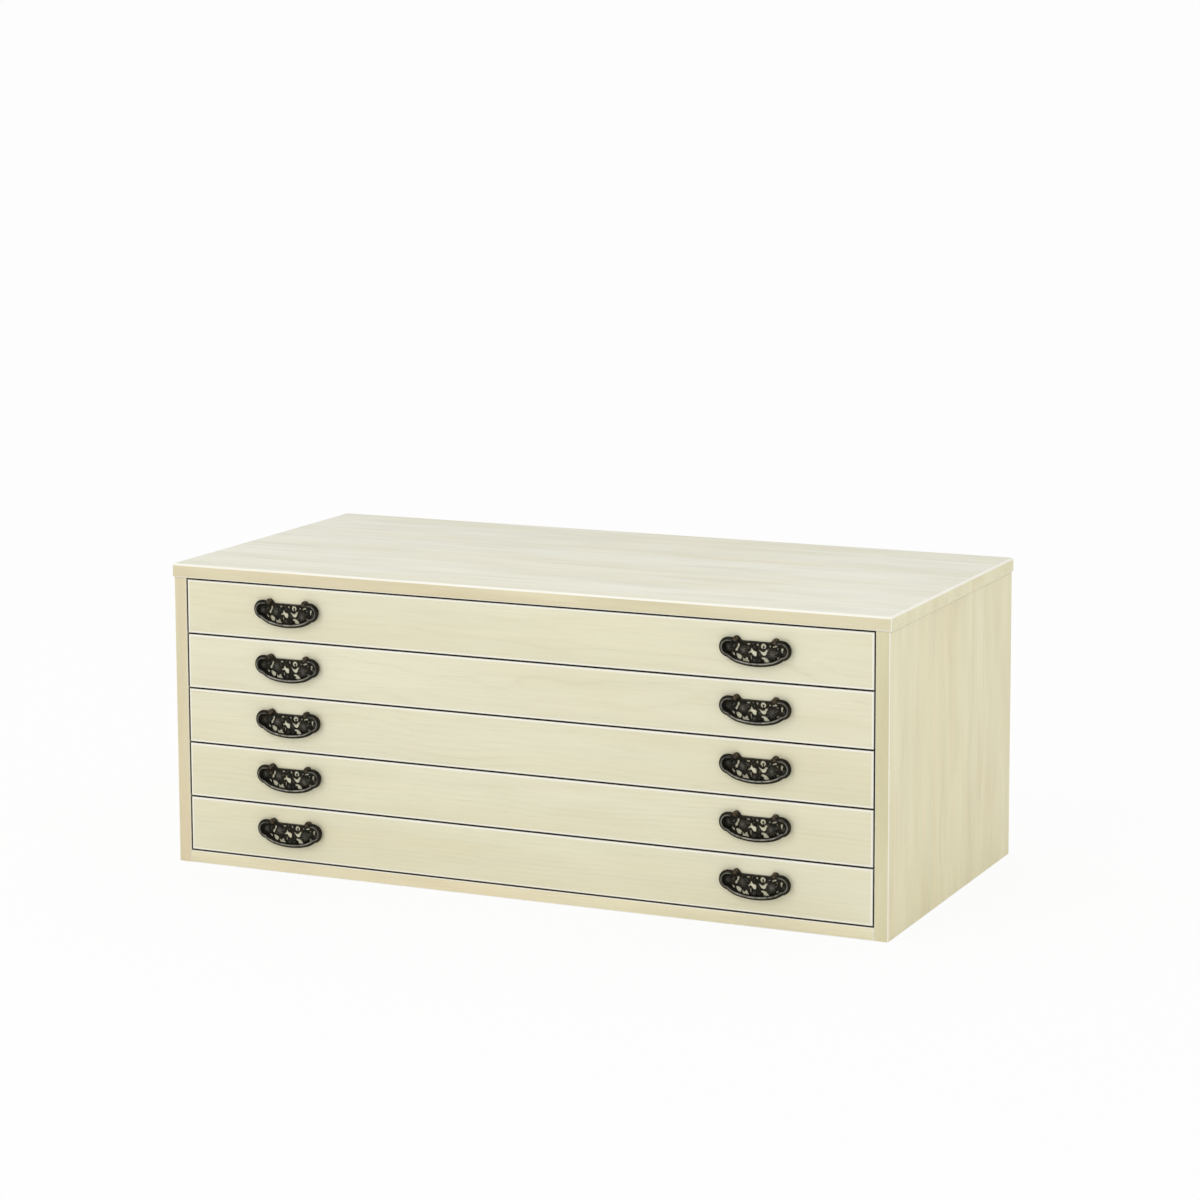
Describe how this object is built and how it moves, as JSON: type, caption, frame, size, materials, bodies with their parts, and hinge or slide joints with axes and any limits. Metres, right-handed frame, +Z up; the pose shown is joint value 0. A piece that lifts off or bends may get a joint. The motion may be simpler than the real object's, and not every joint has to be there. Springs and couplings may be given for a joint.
{
  "type": "low kimono chest of drawers",
  "caption": "Low wide clothing chest in pale paulownia with a tier of shallow flush drawers, with pierced dark iron pulls on swinging bails.",
  "frame": {"origin": "on the floor, below the middle of the whole chest with its pulls", "axes": "+X to the right of someone facing the drawers, +Y from the drawers to the back, +Z up"},
  "size_m": [1, 0.486, 0.4],
  "materials": {
    "top_wood": "bare planed paulownia, waxed",
    "side_wood": "bare planed paulownia, waxed",
    "front_wood": "bare planed paulownia, waxed",
    "back_wood": "bare paulownia",
    "inner_wood": "bare paulownia",
    "plate_iron": "blackened, satin",
    "bail_iron": "blackened, rubbed satin",
    "pin_iron": "browned, satin"
  },
  "bodies": {
    "carcass": {"top_board": "top_wood", "left_side_panel": "side_wood", "right_side_panel": "side_wood", "back_panel": "back_wood", "bottom_front_rail": "front_wood", "bottom_rear_rail": "inner_wood", "bottom_board": "inner_wood", "runner_pair_1": "inner_wood", "runner_pair_2": "inner_wood", "runner_pair_3": "inner_wood", "runner_pair_4": "inner_wood", "runner_pair_5": "inner_wood"},
    "drawer_1": {"drawer_front_1": "front_wood", "drawer_left_side_1": "inner_wood", "drawer_right_side_1": "inner_wood", "drawer_rear_1": "inner_wood", "drawer_floor_1": "inner_wood", "pull_plates_1": "plate_iron", "pull_split_pins_1": "pin_iron"},
    "left_bail_1": {"left_bail_1": "bail_iron"},
    "right_bail_1": {"right_bail_1": "bail_iron"},
    "drawer_2": {"drawer_front_2": "front_wood", "drawer_left_side_2": "inner_wood", "drawer_right_side_2": "inner_wood", "drawer_rear_2": "inner_wood", "drawer_floor_2": "inner_wood", "pull_plates_2": "plate_iron", "pull_split_pins_2": "pin_iron"},
    "left_bail_2": {"left_bail_2": "bail_iron"},
    "right_bail_2": {"right_bail_2": "bail_iron"},
    "drawer_3": {"drawer_front_3": "front_wood", "drawer_left_side_3": "inner_wood", "drawer_right_side_3": "inner_wood", "drawer_rear_3": "inner_wood", "drawer_floor_3": "inner_wood", "pull_plates_3": "plate_iron", "pull_split_pins_3": "pin_iron"},
    "left_bail_3": {"left_bail_3": "bail_iron"},
    "right_bail_3": {"right_bail_3": "bail_iron"},
    "drawer_4": {"drawer_front_4": "front_wood", "drawer_left_side_4": "inner_wood", "drawer_right_side_4": "inner_wood", "drawer_rear_4": "inner_wood", "drawer_floor_4": "inner_wood", "pull_plates_4": "plate_iron", "pull_split_pins_4": "pin_iron"},
    "left_bail_4": {"left_bail_4": "bail_iron"},
    "right_bail_4": {"right_bail_4": "bail_iron"},
    "drawer_5": {"drawer_front_5": "front_wood", "drawer_left_side_5": "inner_wood", "drawer_right_side_5": "inner_wood", "drawer_rear_5": "inner_wood", "drawer_floor_5": "inner_wood", "pull_plates_5": "plate_iron", "pull_split_pins_5": "pin_iron"},
    "left_bail_5": {"left_bail_5": "bail_iron"},
    "right_bail_5": {"right_bail_5": "bail_iron"}
  },
  "joints": [
    {"name": "drawer_1_slide", "type": "slide", "parent": "carcass", "child": "drawer_1", "axis": [0, -1, 0], "range_m": [0, 0.385]},
    {"name": "left_bail_1_swing", "type": "hinge", "parent": "drawer_1", "child": "left_bail_1", "pos_m": [-0.3265, -0.23822, 0.35935], "axis": [-1, 0, 0], "range_deg": [0, 95]},
    {"name": "right_bail_1_swing", "type": "hinge", "parent": "drawer_1", "child": "right_bail_1", "pos_m": [0.3265, -0.23822, 0.35935], "axis": [-1, 0, 0], "range_deg": [0, 95]},
    {"name": "drawer_2_slide", "type": "slide", "parent": "carcass", "child": "drawer_2", "axis": [0, -1, 0], "range_m": [0, 0.385]},
    {"name": "left_bail_2_swing", "type": "hinge", "parent": "drawer_2", "child": "left_bail_2", "pos_m": [-0.3265, -0.23822, 0.28655], "axis": [-1, 0, 0], "range_deg": [0, 95]},
    {"name": "right_bail_2_swing", "type": "hinge", "parent": "drawer_2", "child": "right_bail_2", "pos_m": [0.3265, -0.23822, 0.28655], "axis": [-1, 0, 0], "range_deg": [0, 95]},
    {"name": "drawer_3_slide", "type": "slide", "parent": "carcass", "child": "drawer_3", "axis": [0, -1, 0], "range_m": [0, 0.385]},
    {"name": "left_bail_3_swing", "type": "hinge", "parent": "drawer_3", "child": "left_bail_3", "pos_m": [-0.3265, -0.23822, 0.21375], "axis": [-1, 0, 0], "range_deg": [0, 95]},
    {"name": "right_bail_3_swing", "type": "hinge", "parent": "drawer_3", "child": "right_bail_3", "pos_m": [0.3265, -0.23822, 0.21375], "axis": [-1, 0, 0], "range_deg": [0, 95]},
    {"name": "drawer_4_slide", "type": "slide", "parent": "carcass", "child": "drawer_4", "axis": [0, -1, 0], "range_m": [0, 0.385]},
    {"name": "left_bail_4_swing", "type": "hinge", "parent": "drawer_4", "child": "left_bail_4", "pos_m": [-0.3265, -0.23822, 0.14095], "axis": [-1, 0, 0], "range_deg": [0, 95]},
    {"name": "right_bail_4_swing", "type": "hinge", "parent": "drawer_4", "child": "right_bail_4", "pos_m": [0.3265, -0.23822, 0.14095], "axis": [-1, 0, 0], "range_deg": [0, 95]},
    {"name": "drawer_5_slide", "type": "slide", "parent": "carcass", "child": "drawer_5", "axis": [0, -1, 0], "range_m": [0, 0.385]},
    {"name": "left_bail_5_swing", "type": "hinge", "parent": "drawer_5", "child": "left_bail_5", "pos_m": [-0.3265, -0.23822, 0.06815], "axis": [-1, 0, 0], "range_deg": [0, 95]},
    {"name": "right_bail_5_swing", "type": "hinge", "parent": "drawer_5", "child": "right_bail_5", "pos_m": [0.3265, -0.23822, 0.06815], "axis": [-1, 0, 0], "range_deg": [0, 95]}
  ]
}
